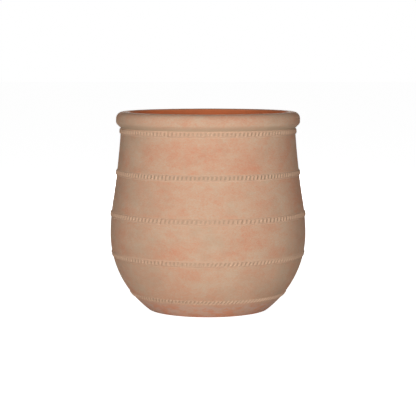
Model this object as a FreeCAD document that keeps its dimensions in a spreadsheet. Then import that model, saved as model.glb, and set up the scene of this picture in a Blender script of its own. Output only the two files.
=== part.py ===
import FreeCAD, Part

import math
import os

import Sketcher

# Terracotta floor pot: a barrel-bellied vessel raised in courses, with a rolled rim and five notched
# bands that cover the joints between the courses. Millimetres, +Z up, origin at the middle of the foot.

SIZES = {
    # the outline of the wall
    "pot_height": 455.0,
    "belly_radius": 225.0,
    "belly_height": 175.0,
    "lower_arc": 219.0,
    "shoulder_arc": 465.0,
    "shoulder_sweep": 9.2,
    "neck_arc": 1800.0,
    "wall_thickness": 17.0,
    # the rolled rim
    "roll_overhang": 11.1,
    "roll_height": 38.0,
    "roll_bevel": 11.5,
    "roll_bevel_angle": 45.0,
    "roll_lower_round": 9.0,
    "roll_top_round": 16.0,
    "lip_round": 6.0,
    # the foot and the floor
    "foot_inner_radius": 118.0,
    "foot_round": 5.0,
    "floor_recess": 3.0,
    "floor_thickness": 22.0,
    "drain_radius": 15.0,
    # the joints between the courses, the middle three as shares of the way from foot band to neck band
    "neck_band_drop": 5.8,
    "shoulder_band_share": 0.746,
    "upper_belly_band_share": 0.493,
    "lower_belly_band_share": 0.246,
    "foot_band_rise": 39.0,
    "seam_bevel": 25.0,
    # the notched bands
    "band_width": 16.0,
    "band_crest": 5.0,
    "band_crest_rise": 1.5,
    "band_edge": 0.4,
    "band_bed": 1.5,
    "notch_length": 9.4,
    "notch_mouth": 5.6,
    "notch_depth_share": 0.7,
    "notch_flank": 35.0,
    "neck_band_relief": 3.0,
    "shoulder_band_relief": 2.7,
    "upper_belly_band_relief": 2.5,
    "lower_belly_band_relief": 1.9,
    "foot_band_relief": 1.7,
    "neck_band_pitch": 9.7,
    "shoulder_band_pitch": 9.75,
    "upper_belly_band_pitch": 10.4,
    "lower_belly_band_pitch": 9.6,
    "foot_band_pitch": 8.8,
    "neck_band_slant": 8.0,
    "shoulder_band_slant": 10.0,
    "upper_belly_band_slant": 13.0,
    "lower_belly_band_slant": 17.0,
    "foot_band_slant": 24.0,
}

# Bands and courses from the top down: each band covers the joint at the top of the course named beside it.
BANDS = ["neck_band", "shoulder_band", "upper_belly_band", "lower_belly_band", "foot_band"]
COURSES = ["neck_course", "shoulder_course", "upper_belly_course", "lower_belly_course", "foot_course"]

# How far cutting tools reach past what they cut, for whole turnings and for the notches.
CUT_MARGIN = 60.0
NOTCH_LEAD = 0.4
FULL_TURN = 360.0

# How sketch constraints number the points of a line or arc, and the sketch's own origin and axes.
START, END, CENTRE = 1, 2, 3
ACROSS, UP = -1, -2
ORIGIN = (ACROSS, START)

doc = FreeCAD.newDocument("flower_pot")


def fill_sheet(name, cells):
    """A sheet with one named cell a row."""
    sheet = doc.addObject("Spreadsheet::Sheet", name)
    for row, (alias, content) in enumerate(cells.items(), start=1):
        sheet.set(f"A{row}", alias)
        sheet.set(f"B{row}", str(content))
        sheet.setAlias(f"B{row}", alias)
    doc.recompute()
    return sheet


def wall_formulas():
    """Cells that follow from the sizes: the neck arc's centre, the roll, the floor's edge, and each band's
    place on the wall with the wall's tilt and bend there. The bend is the arc's radius, negative where it is
    hollow."""
    cells = {
        "turn_height": "=dims.belly_height + dims.shoulder_arc * sin(dims.shoulder_sweep)",
        "neck_centre_x": "=dims.belly_radius - dims.shoulder_arc"
        " + (dims.shoulder_arc + dims.neck_arc) * cos(dims.shoulder_sweep)",
        "neck_centre_z": "=dims.belly_height"
        " + (dims.shoulder_arc + dims.neck_arc) * sin(dims.shoulder_sweep)",
        "roll_under": "=dims.pot_height - dims.roll_height",
        "roll_radius": "=dims.roll_overhang + neck_centre_x"
        " - sqrt(dims.neck_arc^2 - (neck_centre_z - roll_under)^2)",
        "roll_root": "=roll_radius - dims.roll_bevel - 2 * dims.wall_thickness",
        "wall_top": "=dims.pot_height - dims.roll_height / 2",
        "floor_top": "=dims.floor_recess + dims.floor_thickness",
        "floor_top_radius": "=dims.belly_radius - dims.lower_arc"
        " + sqrt((dims.lower_arc - dims.wall_thickness)^2 - (dims.belly_height - floor_top)^2)",
        "floor_bottom_radius": "=dims.foot_inner_radius"
        " + (floor_top_radius - dims.foot_inner_radius) * dims.floor_recess / floor_top",
        "seam_slope": "=tan(dims.seam_bevel)",
        "neck_band_height": "=roll_under - dims.neck_band_drop",
        "foot_band_height": "=dims.foot_band_rise",
    }
    for band in BANDS[1:-1]:
        cells[f"{band}_height"] = (
            f"=foot_band_height + (neck_band_height - foot_band_height) * dims.{band}_share"
        )
    for band in BANDS:
        height = f"{band}_height"
        lower = f"sqrt(dims.lower_arc^2 - (dims.belly_height - {height})^2) - dims.lower_arc"
        shoulder = f"sqrt(dims.shoulder_arc^2 - ({height} - dims.belly_height)^2) - dims.shoulder_arc"
        neck = f"neck_centre_x - sqrt(dims.neck_arc^2 - (neck_centre_z - {height})^2)"
        cells[f"{band}_radius"] = (
            f"={height} < dims.belly_height ? dims.belly_radius + {lower}"
            f" : ({height} < turn_height ? dims.belly_radius + {shoulder} : {neck})"
        )
        cells[f"{band}_tilt"] = (
            f"={height} < dims.belly_height ? asin(({height} - dims.belly_height) / dims.lower_arc)"
            f" : ({height} < turn_height ? asin(({height} - dims.belly_height) / dims.shoulder_arc)"
            f" : asin((neck_centre_z - {height}) / dims.neck_arc))"
        )
        cells[f"{band}_bend"] = (
            f"={height} < dims.belly_height ? dims.lower_arc"
            f" : ({height} < turn_height ? dims.shoulder_arc : -dims.neck_arc)"
        )
        cells[f"{band}_front_radius"] = f"={band}_radius + dims.{band}_relief * cos({band}_tilt)"
        cells[f"{band}_notches"] = f"=round(2 * pi * {band}_front_radius / dims.{band}_pitch)"
    return cells


dims = fill_sheet("dims", SIZES)
derived = fill_sheet("derived", wall_formulas())


def number(expression):
    """The value that an expression on the two sheets has now."""
    found = dims.evalExpression(expression)
    return float(getattr(found, "Value", found))


def new_body(name):
    body = doc.addObject("PartDesign::Body", name)
    body.Label = name
    return body


def new_sketch(body, name, role="XZ_Plane"):
    """A sketch on one of the body's own origin planes."""
    sketch = body.newObject("Sketcher::SketchObject", name)
    plane = next(feature for feature in body.Origin.OriginFeatures if feature.Role == role)
    sketch.AttachmentSupport = [(plane, "")]
    sketch.MapMode = "FlatFace"
    return sketch


def bind(sketch, kind, geometry, expression):
    """A dimension of the sketch that follows an expression on the sheets."""
    value = number(expression)
    if kind == "Angle":
        value = math.radians(value)
    index = sketch.addConstraint(Sketcher.Constraint(kind, *geometry, value))
    sketch.setExpression(f"Constraints[{index}]", expression)


def rule(sketch, kind, *geometry):
    sketch.addConstraint(Sketcher.Constraint(kind, *geometry))


def follow(sketch, kind, *joined):
    """Joins the end of each geometry to the start of the next one named."""
    for geometry, following in zip(joined, joined[1:]):
        rule(sketch, kind, geometry, END, following, START)


def chain(sketch, corners):
    """Straight lines through corners given as pairs of expressions measured from the sketch's origin."""
    points = [FreeCAD.Vector(number(x), number(y), 0) for x, y in corners]
    lines = [sketch.addGeometry(Part.LineSegment(*ends), False) for ends in zip(points, points[1:])]
    follow(sketch, "Coincident", *lines)
    for line, corner in zip(lines, corners):
        place(sketch, line, START, *corner)
    place(sketch, lines[-1], END, *corners[-1])
    return lines


def polygon(sketch, corners):
    """A closed outline of straight lines."""
    lines = chain(sketch, corners)
    ends = (sketch.getPoint(lines[-1], END), sketch.getPoint(lines[0], START))
    closing = sketch.addGeometry(Part.LineSegment(*ends), False)
    follow(sketch, "Coincident", lines[-1], closing, lines[0])


def place(sketch, geometry, point, x, y):
    """Holds a point at a pair of expressions. A point at zero lies on the axis itself."""
    for kind, axis, expression in (("DistanceX", UP, x), ("DistanceY", ACROSS, y)):
        value = number(expression)
        if value == 0:
            rule(sketch, "PointOnObject", geometry, point, axis)
        elif value > 0:
            bind(sketch, kind, (*ORIGIN, geometry, point), expression)
        else:
            bind(sketch, kind, (geometry, point, *ORIGIN), f"-({expression})")


def turn(body, kind, sketch, name):
    """A full turn of a sketch about the pot's axis, adding or cutting."""
    feature = body.newObject(kind, name)
    feature.Profile = sketch
    feature.ReferenceAxis = (sketch, ["V_Axis"])
    feature.Angle = FULL_TURN
    sketch.Visibility = False
    doc.recompute()
    return feature


def arc(centre, radius, first, last):
    circle = Part.Circle(FreeCAD.Vector(*centre, 0), FreeCAD.Vector(0, 0, 1), radius)
    return Part.ArcOfCircle(circle, first, last)


def wall_arcs(inset, start, end):
    """The three tangent arcs of the wall, set in from the outside by inset: a round lower belly, a longer
    shoulder arc above the belly, then a slight hollow up to the mouth. They run between two angles."""
    depth = number(inset)
    belly_x, belly_z = number("dims.belly_radius"), number("dims.belly_height")
    lower, shoulder, neck = number("dims.lower_arc"), number("dims.shoulder_arc"), number("dims.neck_arc")
    sweep = math.radians(number("dims.shoulder_sweep"))
    neck_centre = (number("derived.neck_centre_x"), number("derived.neck_centre_z"))
    return [
        arc((belly_x - lower, belly_z), lower - depth, start, 0),
        arc((belly_x - shoulder, belly_z), shoulder - depth, 0, sweep),
        arc(neck_centre, neck + depth, end + math.pi, sweep + math.pi),
    ]


def bind_wall_arcs(sketch, lower, shoulder, neck, inset):
    """Ties the three arcs to each other and to the sizes. The neck arc runs downwards."""
    rule(sketch, "Tangent", lower, END, shoulder, START)
    rule(sketch, "Tangent", shoulder, END, neck, END)
    rule(sketch, "Horizontal", lower, CENTRE, lower, END)
    place(sketch, lower, END, f"dims.belly_radius - {inset}", "dims.belly_height")
    bind(sketch, "Radius", (lower,), f"dims.lower_arc - {inset}")
    bind(sketch, "Radius", (shoulder,), f"dims.shoulder_arc - {inset}")
    bind(sketch, "Angle", (shoulder,), "dims.shoulder_sweep")
    bind(sketch, "Radius", (neck,), f"dims.neck_arc + {inset}")


def wall_outline(sketch):
    """The outside of the vessel, from the axis to the rounded edge of the foot and up into the roll."""
    rounding, high = number("dims.foot_round"), number("derived.wall_top")
    reach = number("dims.lower_arc - dims.foot_round")
    start = -math.asin((number("dims.belly_height") - rounding) / reach)
    end = math.asin((number("derived.neck_centre_z") - high) / number("dims.neck_arc"))
    foot_x = number("dims.belly_radius - dims.lower_arc") + reach * math.cos(start)
    foot = arc((foot_x, rounding), rounding, -math.pi / 2, start)
    arcs = wall_arcs("0", start, end)
    origin, top = FreeCAD.Vector(), FreeCAD.Vector(0, high, 0)
    ground = Part.LineSegment(origin, foot.StartPoint)
    cap, axis = Part.LineSegment(arcs[2].StartPoint, top), Part.LineSegment(top, origin)
    outline = [ground, foot, *arcs, cap, axis]
    ground, foot, lower, shoulder, neck, cap, axis = sketch.addGeometry(outline, False)
    bind_wall_arcs(sketch, lower, shoulder, neck, "0")
    follow(sketch, "Tangent", ground, foot, lower)
    rule(sketch, "Coincident", neck, START, cap, START)
    follow(sketch, "Coincident", cap, axis, ground)
    rule(sketch, "Horizontal", ground)
    rule(sketch, "Horizontal", cap)
    place(sketch, ground, START, "0", "0")
    place(sketch, axis, START, "0", "derived.wall_top")
    bind(sketch, "Radius", (foot,), "dims.foot_round")


def hollow_outline(sketch):
    """The inside of the vessel, from the floor up the wall and out over the rounded lip."""
    inset = "dims.wall_thickness"
    low, top, rounding = number("derived.floor_top"), number("dims.pot_height"), number("dims.lip_round")
    start = -math.asin((number("dims.belly_height") - low) / number(f"dims.lower_arc - {inset}"))
    reach = number(f"dims.neck_arc + {inset} - dims.lip_round")
    end = math.asin((number("derived.neck_centre_z") - top + rounding) / reach)
    lip_x = number("derived.neck_centre_x") - reach * math.cos(end)
    lip = arc((lip_x, top - rounding), rounding, math.pi / 2, end + math.pi)
    arcs = wall_arcs(inset, start, end)
    above = lip.StartPoint + FreeCAD.Vector(0, CUT_MARGIN, 0)
    bottom, peak = FreeCAD.Vector(0, low, 0), FreeCAD.Vector(0, above.y, 0)
    floor_line = Part.LineSegment(bottom, arcs[0].StartPoint)
    riser = Part.LineSegment(lip.StartPoint, above)
    cap, axis = Part.LineSegment(above, peak), Part.LineSegment(peak, bottom)
    outline = [floor_line, *arcs, lip, riser, cap, axis]
    floor_line, lower, shoulder, neck, lip, riser, cap, axis = sketch.addGeometry(outline, False)
    bind_wall_arcs(sketch, lower, shoulder, neck, inset)
    rule(sketch, "Tangent", neck, START, lip, END)
    rule(sketch, "Coincident", lip, START, riser, START)
    follow(sketch, "Coincident", riser, cap, axis, floor_line, lower)
    rule(sketch, "Vertical", lip, CENTRE, lip, START)
    rule(sketch, "Vertical", riser)
    rule(sketch, "Horizontal", cap)
    rule(sketch, "Horizontal", floor_line)
    place(sketch, floor_line, START, "0", "derived.floor_top")
    place(sketch, axis, START, "0", f"dims.pot_height + {CUT_MARGIN}")
    bind(sketch, "Radius", (lip,), "dims.lip_round")
    bind(sketch, "DistanceY", (*ORIGIN, lip, START), "dims.pot_height")


def roll_outline(sketch):
    """The rim's roll: bevelled underneath, upright in front and well rounded above. It reaches in past the
    mouth, which is hollowed out after it."""
    root, under, bevel = number("derived.roll_root"), number("derived.roll_under"), number("dims.roll_bevel")
    face, top = number("derived.roll_radius"), number("dims.pot_height")
    low_round, top_round = number("dims.roll_lower_round"), number("dims.roll_top_round")
    slope = math.radians(number("dims.roll_bevel_angle"))
    rise = bevel * math.tan(slope) + low_round * math.tan((math.pi / 2 - slope) / 2)
    low_arc = arc((face - low_round, under + rise), low_round, slope - math.pi / 2, 0)
    top_arc = arc((face - top_round, top - top_round), top_round, 0, math.pi / 2)
    edge = FreeCAD.Vector(face - bevel, under, 0)
    inner_low, inner_top = FreeCAD.Vector(root, under, 0), FreeCAD.Vector(root, top, 0)
    outline = [
        Part.LineSegment(inner_low, edge),
        Part.LineSegment(edge, low_arc.StartPoint),
        low_arc,
        Part.LineSegment(low_arc.EndPoint, top_arc.StartPoint),
        top_arc,
        Part.LineSegment(top_arc.EndPoint, inner_top),
        Part.LineSegment(inner_top, inner_low),
    ]
    underside, bevel, low_arc, front, top_arc, crest, back = sketch.addGeometry(outline, False)
    follow(sketch, "Coincident", crest, back, underside, bevel)
    follow(sketch, "Tangent", bevel, low_arc, front, top_arc, crest)
    for level in (underside, crest):
        rule(sketch, "Horizontal", level)
    for upright in (front, back):
        rule(sketch, "Vertical", upright)
    place(sketch, underside, START, "derived.roll_root", "derived.roll_under")
    bind(sketch, "DistanceX", (*ORIGIN, underside, END), "derived.roll_radius - dims.roll_bevel")
    bind(sketch, "DistanceX", (*ORIGIN, front, START), "derived.roll_radius")
    bind(sketch, "DistanceY", (*ORIGIN, crest, END), "dims.pot_height")
    bind(sketch, "Radius", (low_arc,), "dims.roll_lower_round")
    bind(sketch, "Radius", (top_arc,), "dims.roll_top_round")
    bind(sketch, "Angle", (*ORIGIN, bevel, START), "dims.roll_bevel_angle")


def make_wall():
    """The whole fired wall with its roll, before it is parted into courses."""
    body = new_body("wall")
    form = new_sketch(body, "wall_form")
    wall_outline(form)
    turn(body, "PartDesign::Revolution", form, "wall_turning")
    roll = new_sketch(body, "roll_form")
    roll_outline(roll)
    turn(body, "PartDesign::Revolution", roll, "roll_turning")
    hollow = new_sketch(body, "hollow_form")
    hollow_outline(hollow)
    turn(body, "PartDesign::Groove", hollow, "hollow_turning")
    seat = new_sketch(body, "floor_seat_form")
    corners = [("0", "0"), ("dims.foot_inner_radius", "0"), ("derived.floor_top_radius", "derived.floor_top")]
    polygon(seat, corners + [("0", "derived.floor_top")])
    turn(body, "PartDesign::Groove", seat, "floor_seat_turning")
    return body


def make_floor():
    """The disc that drops into the foot course on a bevelled edge, with the drain hole in its middle."""
    body = new_body("floor_disc")
    sketch = new_sketch(body, "floor_form")
    polygon(
        sketch,
        [
            ("dims.drain_radius", "dims.floor_recess"),
            ("derived.floor_bottom_radius", "dims.floor_recess"),
            ("derived.floor_top_radius", "derived.floor_top"),
            ("dims.drain_radius", "derived.floor_top"),
        ],
    )
    turn(body, "PartDesign::Revolution", sketch, "floor_turning")
    return body


def make_seam(band):
    """Everything below one joint: a wide cone that climbs inwards through the wall behind the band."""
    body = new_body(f"{band}_seam")
    sketch = new_sketch(body, f"{band}_seam_form")
    reach = f"dims.belly_radius + {CUT_MARGIN}"
    outer = f"derived.{band}_height - ({reach} - derived.{band}_radius) * derived.seam_slope"
    inner = f"derived.{band}_height + derived.{band}_radius * derived.seam_slope"
    polygon(sketch, [("0", f"-{CUT_MARGIN}"), (reach, f"-{CUT_MARGIN}"), (reach, outer), ("0", inner)])
    turn(body, "PartDesign::Revolution", sketch, f"{band}_seam_turning")
    return body


def join(kind, name, base, tool):
    """A boolean of two objects."""
    result = doc.addObject(kind, name)
    result.Label = name
    result.Base = base
    result.Tool = tool
    doc.recompute()
    return result


def band_point(band, out, up):
    """A point of a band's section, as distances up along the wall and then out from it."""
    angle = f"(derived.{band}_tilt + ({up}) / derived.{band}_bend * 180 deg / pi)"
    bend, tilt = f"derived.{band}_bend", f"derived.{band}_tilt"
    x = f"derived.{band}_radius + {bend} * (cos({angle}) - cos({tilt})) + ({out}) * cos({angle})"
    z = f"derived.{band}_height + {bend} * (sin({angle}) - sin({tilt})) + ({out}) * sin({angle})"
    return x, z


def band_section(sketch, band):
    """A low strip bedded in the wall, its back bent to it. It slopes from thin edges to a crest above its
    middle."""
    half, edge, front = "dims.band_width / 2", "dims.band_edge", f"dims.{band}_relief"
    bed = "-dims.band_bed"
    corners = [
        (bed, f"-{half}"),
        (edge, f"-{half}"),
        (front, "dims.band_crest_rise - dims.band_crest / 2"),
        (front, "dims.band_crest_rise + dims.band_crest / 2"),
        (edge, half),
        (bed, half),
    ]
    lines = chain(sketch, [band_point(band, out, up) for out, up in corners])
    middle = FreeCAD.Vector(*(number(along) for along in band_point(band, bed, "0")), 0)
    ends = [(lines[0], START), (lines[-1], END)]
    if number(f"derived.{band}_bend") < 0:
        ends.reverse()
    first, last = (sketch.getPoint(*end) for end in ends)
    back = sketch.addGeometry(Part.Arc(first, middle, last), False)
    for point, end in zip((START, END), ends):
        rule(sketch, "Coincident", back, point, *end)
    bind(sketch, "Radius", (back,), f"abs(derived.{band}_bend - dims.band_bed)")


def notch_outline(sketch, band):
    """One slanted notch, drawn just in front of the band and square to the wall."""
    lead = f"{NOTCH_LEAD} * tan(dims.notch_flank)"
    reach, wide = f"(dims.notch_length / 2 + {lead})", f"(dims.notch_mouth / 2 + {lead})"
    lean = f"{reach} * tan(dims.{band}_slant)"
    tilt = f"derived.{band}_tilt"
    turned = FreeCAD.Rotation(FreeCAD.Vector(1, 0, 0), -number(tilt))
    sketch.AttachmentOffset = FreeCAD.Placement(FreeCAD.Vector(), turned)
    out = f"(dims.{band}_relief + {NOTCH_LEAD})"
    sketch.setExpression("AttachmentOffset.Base.y", f"derived.{band}_height + {out} * sin({tilt})")
    sketch.setExpression("AttachmentOffset.Base.z", f"derived.{band}_radius + {out} * cos({tilt})")
    sketch.setExpression("AttachmentOffset.Rotation.Angle", f"-{tilt}")
    foot = [(f"-{wide} - {lean}", f"-{reach}"), (f"{wide} - {lean}", f"-{reach}")]
    head = [(f"{wide} + {lean}", reach), (f"{lean} - {wide}", reach)]
    polygon(sketch, foot + head)


def lay_strip(body, band):
    """A plain strip round the wall, still without notches. The topmost is tucked under the roll."""
    section = new_sketch(body, f"{body.Label}_section")
    band_section(section, band)
    strip = turn(body, "PartDesign::Revolution", section, f"{body.Label}_turning")
    if band == BANDS[0]:
        tuck = new_sketch(body, f"{body.Label}_tuck_form")
        under, root = "derived.roll_under", "derived.roll_root"
        raised = f"{under} + dims.roll_bevel * tan(dims.roll_bevel_angle)"
        underside = [(root, under), ("derived.roll_radius - dims.roll_bevel", under)]
        polygon(tuck, underside + [("derived.roll_radius", raised), (root, raised)])
        strip = turn(body, "PartDesign::Groove", tuck, f"{body.Label}_tuck")
    return strip


def make_bed(band):
    """What the wall gives up to a band: the shallow bed that the strip is pressed into."""
    body = new_body(f"{band}_bed")
    lay_strip(body, band)
    return body


def make_band(band):
    """One notched band: a strip pressed all the way round with slanted, flat-bottomed notches."""
    body = new_body(band)
    strip = lay_strip(body, band)
    mark = new_sketch(body, f"{band}_notch_form", "YZ_Plane")
    notch_outline(mark, band)
    notch = body.newObject("PartDesign::Pocket", f"{band}_notch")
    notch.Profile = mark
    notch.setExpression("Length", f"dims.notch_depth_share * dims.{band}_relief + {NOTCH_LEAD}")
    notch.setExpression("TaperAngle", "-dims.notch_flank")
    doc.recompute()

    ring = body.newObject("PartDesign::PolarPattern", f"{band}_notches")
    ring.Originals = [notch]
    ring.Axis = (strip.Profile[0], ["V_Axis"])
    ring.Angle = FULL_TURN
    ring.setExpression("Occurrences", f"derived.{band}_notches")
    body.Tip = ring
    doc.recompute()
    if not ring.Shape.Volume < notch.Shape.Volume < strip.Shape.Volume:
        raise RuntimeError(f"{band} has lost its notches")
    return body


def check_and_write(nodes):
    """Writes each piece, once every object of the document is sound."""
    for item in doc.Objects:
        if {"Invalid", "Error"} & set(item.State):
            raise RuntimeError(f"{item.Name} failed: {item.State}")
    for node in nodes:
        if node.Shape.isNull() or not node.Shape.isValid() or len(node.Shape.Solids) != 1:
            raise RuntimeError(f"{node.Label} is not one sound solid")
    os.makedirs("parts", exist_ok=True)
    for node in nodes:
        node.Shape.exportStep(f"parts/{node.Label}.step")


wall = make_wall()
for band in BANDS:
    wall = join("Part::Cut", f"{band}_seat", wall, make_bed(band))
nodes = [make_floor()]
seams = [make_seam(band) for band in BANDS]
nodes.append(join("Part::Cut", "rim_roll", wall, seams[0]))
for course, above, below in zip(COURSES, seams, seams[1:]):
    raised = join("Part::Common", f"{course}_raised", wall, above)
    nodes.append(join("Part::Cut", course, raised, below))
nodes.append(join("Part::Common", COURSES[-1], wall, seams[-1]))
nodes.extend(make_band(band) for band in BANDS)
check_and_write(nodes)
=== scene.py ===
import math

import bpy
import numpy as np
from bpy.props import FloatProperty, FloatVectorProperty, IntProperty, PointerProperty
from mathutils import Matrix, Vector, noise


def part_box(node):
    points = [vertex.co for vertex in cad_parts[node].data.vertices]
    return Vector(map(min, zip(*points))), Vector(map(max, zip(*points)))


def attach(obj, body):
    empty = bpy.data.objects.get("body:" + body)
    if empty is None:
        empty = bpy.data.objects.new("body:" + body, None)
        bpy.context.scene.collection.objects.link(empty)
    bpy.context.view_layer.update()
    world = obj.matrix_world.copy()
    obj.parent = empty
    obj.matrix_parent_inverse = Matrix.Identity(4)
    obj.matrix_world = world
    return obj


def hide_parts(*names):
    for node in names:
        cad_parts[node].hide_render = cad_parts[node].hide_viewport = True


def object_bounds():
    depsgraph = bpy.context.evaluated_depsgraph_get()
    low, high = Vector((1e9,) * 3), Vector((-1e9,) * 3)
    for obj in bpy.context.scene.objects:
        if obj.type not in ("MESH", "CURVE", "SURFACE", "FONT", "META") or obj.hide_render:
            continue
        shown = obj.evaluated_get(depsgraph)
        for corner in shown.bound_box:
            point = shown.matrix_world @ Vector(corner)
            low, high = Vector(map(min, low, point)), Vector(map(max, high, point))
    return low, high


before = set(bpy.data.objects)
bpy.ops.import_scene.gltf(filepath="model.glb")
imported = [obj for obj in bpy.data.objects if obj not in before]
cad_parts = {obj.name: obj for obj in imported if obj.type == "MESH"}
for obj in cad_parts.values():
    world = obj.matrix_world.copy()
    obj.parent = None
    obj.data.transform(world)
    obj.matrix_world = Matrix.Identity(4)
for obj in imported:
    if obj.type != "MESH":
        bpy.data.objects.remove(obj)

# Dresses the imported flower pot: each clay piece of the frame gets a finer fired surface with the unevenness
# of hand work, and the terracotta, its rubbed lime wash and the pressed bands get their finishes. Metres, +Z
# up, the camera looks along +Y, and azimuths are measured from the front towards the right.

bl_info = {
    "name": "Limewashed flower pot",
    "version": (1, 0, 0),
    "blender": (4, 5, 0),
    "location": "View3D > Sidebar > Flower pot",
    "description": "Fired and limewashed surfaces for a terracotta flower pot with notched bands",
    "category": "Object",
}

CAD_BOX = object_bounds()
MM = 0.001

# Bands and courses from the top down: each band covers the joint at the top of the course in the same place.
BANDS = ["neck_band", "shoulder_band", "upper_belly_band", "lower_belly_band", "foot_band"]
COURSES = ["neck_course", "shoulder_course", "upper_belly_course", "lower_belly_course", "foot_course"]

# How finely the turned rings are made: columns round the axis, and distances between the rows of a section.
WALL_COLUMNS, FLOOR_COLUMNS = 256, 160
OUTSIDE_ROWS, RIM_ROWS, INSIDE_ROWS = 1.8 * MM, 1.0 * MM, 1.3 * MM

# Edges that turn by more than this stay crisp.
SHARP_ANGLE = math.radians(50)

# Finishes by the names of their materials: what the clay is and how its surface was made.
WASHED_WALL = "limewashed_terracotta_rubbed"
PRESSED_BAND = "limewashed_terracotta_pressed"
BARE_CLAY = "bare_terracotta_thrown"

# Where the soft lights stand, in degrees round from the front and up from the ground, and widths in metres.
LAMPS = {
    "left": {"azimuth": -18, "elevation": 4, "width": 1.0},
    "right": {"azimuth": 14, "elevation": 4, "width": 1.0},
    "upper": {"azimuth": 0, "elevation": 34, "width": 1.2},
    "back": {"azimuth": 180, "elevation": 12, "width": 0.7},
}

# Width of the camera's sensor in millimetres, and how far the floor reaches from the pot in metres.
SENSOR_WIDTH = 36.0
FLOOR_REACH = 30.0


# Settings


def srgb(code):
    """A hex colour as the linear colour that shaders take, with full alpha."""
    parts = [int(code[i : i + 2], 16) / 255 for i in (1, 3, 5)]
    return tuple(c / 12.92 if c <= 0.04045 else ((c + 0.055) / 1.055) ** 2.4 for c in parts) + (1.0,)


def size(name, description, millimetres):
    """A length, given in millimetres and kept in metres."""
    return FloatProperty(
        name=name, description=description, default=millimetres * MM, unit="LENGTH", precision=5
    )


def angle(name, description, degrees):
    """An angle, given in degrees and kept in radians."""
    return FloatProperty(name=name, description=description, default=math.radians(degrees), subtype="ANGLE")


def share(name, description, default):
    """A plain number that other values are multiplied by."""
    return FloatProperty(name=name, description=description, default=default)


def power(name, description, watts):
    """The power of a light."""
    return FloatProperty(name=name, description=description, default=watts, unit="POWER")


def colour(name, description, code):
    """A colour, given as sRGB hex and kept linear."""
    return FloatVectorProperty(
        name=name, description=description, default=srgb(code), size=4, min=0.0, max=1.0, subtype="COLOR"
    )


def five_shares(name, description, *values, unit="NONE"):
    """A number for each of the five bands, the top band first."""
    return FloatVectorProperty(
        name=name, description=description, default=values, size=len(BANDS), unit=unit, precision=5
    )


def five_sizes(name, description, *millimetres):
    """A length for each of the five bands, the top band first, given in millimetres."""
    return five_shares(name, description, *(length * MM for length in millimetres), unit="LENGTH")


def five_angles(name, description, *degrees):
    """An angle for each of the five bands, the top band first, given in degrees."""
    return five_shares(name, description, *(math.radians(turn) for turn in degrees), unit="ROTATION")


class PotSizes(bpy.types.PropertyGroup):
    """Sizes of the vessel, as the solids have them, and of the marks that hands and wear left on it."""

    height: size("Height", "From the ground to the crest of the rim", CAD_BOX[1].z / MM)
    belly_radius: size("Belly radius", "Outside radius at the widest place", 225)
    belly_height: size("Belly height", "Height of the widest place", 175)
    lower_arc: size("Lower arc", "Radius of the wall's curve below the belly", 219)
    shoulder_arc: size("Shoulder arc", "Radius of the wall's curve above the belly", 465)
    shoulder_sweep: angle("Shoulder sweep", "Angle that the shoulder arc turns through", 9.2)
    neck_arc: size("Neck arc", "Radius of the hollow curve below the rim", 1800)
    wall: size("Wall", "Thickness of the wall", 17)
    roll_radius: size("Roll radius", "Outside radius of the rolled rim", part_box("rim_roll")[1].x / MM)
    roll_height: size("Roll height", "Height of the rolled rim", 38)
    roll_bevel: size("Roll bevel", "Width of the slope under the roll", 11.5)
    roll_bevel_angle: angle("Roll bevel angle", "Slope under the roll", 45)
    roll_low_round: size("Roll lower rounding", "Rounding between the slope and the front of the roll", 9)
    roll_top_round: size("Roll top rounding", "Rounding between the front of the roll and its crest", 16)
    lip_round: size("Lip rounding", "Rounding between the crest and the mouth", 6)
    foot_round: size("Foot rounding", "Rounding of the edge that meets the ground", 5)
    foot_inner: size("Foot inner radius", "Radius where the foot ring ends under the floor", 118)
    floor_recess: size("Floor recess", "Gap between the ground and the floor's underside", 3)
    floor_thickness: size("Floor thickness", "Thickness of the floor disc", 22)
    drain_radius: size("Drain radius", "Radius of the hole in the floor", 15)
    drain_round: size("Drain rounding", "Rounding of the edges of the hole in the floor", 3)
    seam_bevel: angle("Seam bevel", "Slope of the joints between the courses", 25)
    uneven: size("Unevenness", "How deep the hand-worked surface dips at most", 0.6)
    broad_wave: size("Broad waves", "Size of the broad waves of hand work", 95)
    small_wave: size("Small waves", "Size of the small waves of hand work", 24)
    throwing_pitch: size("Throwing line pitch", "Distance between the finger lines inside", 6.5)
    throwing_depth: size("Throwing line depth", "Depth of the finger lines inside", 0.3)
    throwing_wave: size("Throwing line waves", "Size of the waves in the finger lines inside", 60)
    wear_top: size("Wear top", "Height on the foot up to which the wash is worn", 38)
    wear_fade: size("Wear fade", "How far down the wear takes to reach its full strength", 14)
    soil_top: size("Soil top", "Height on the foot up to which the ground has stained it", 14)


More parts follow.
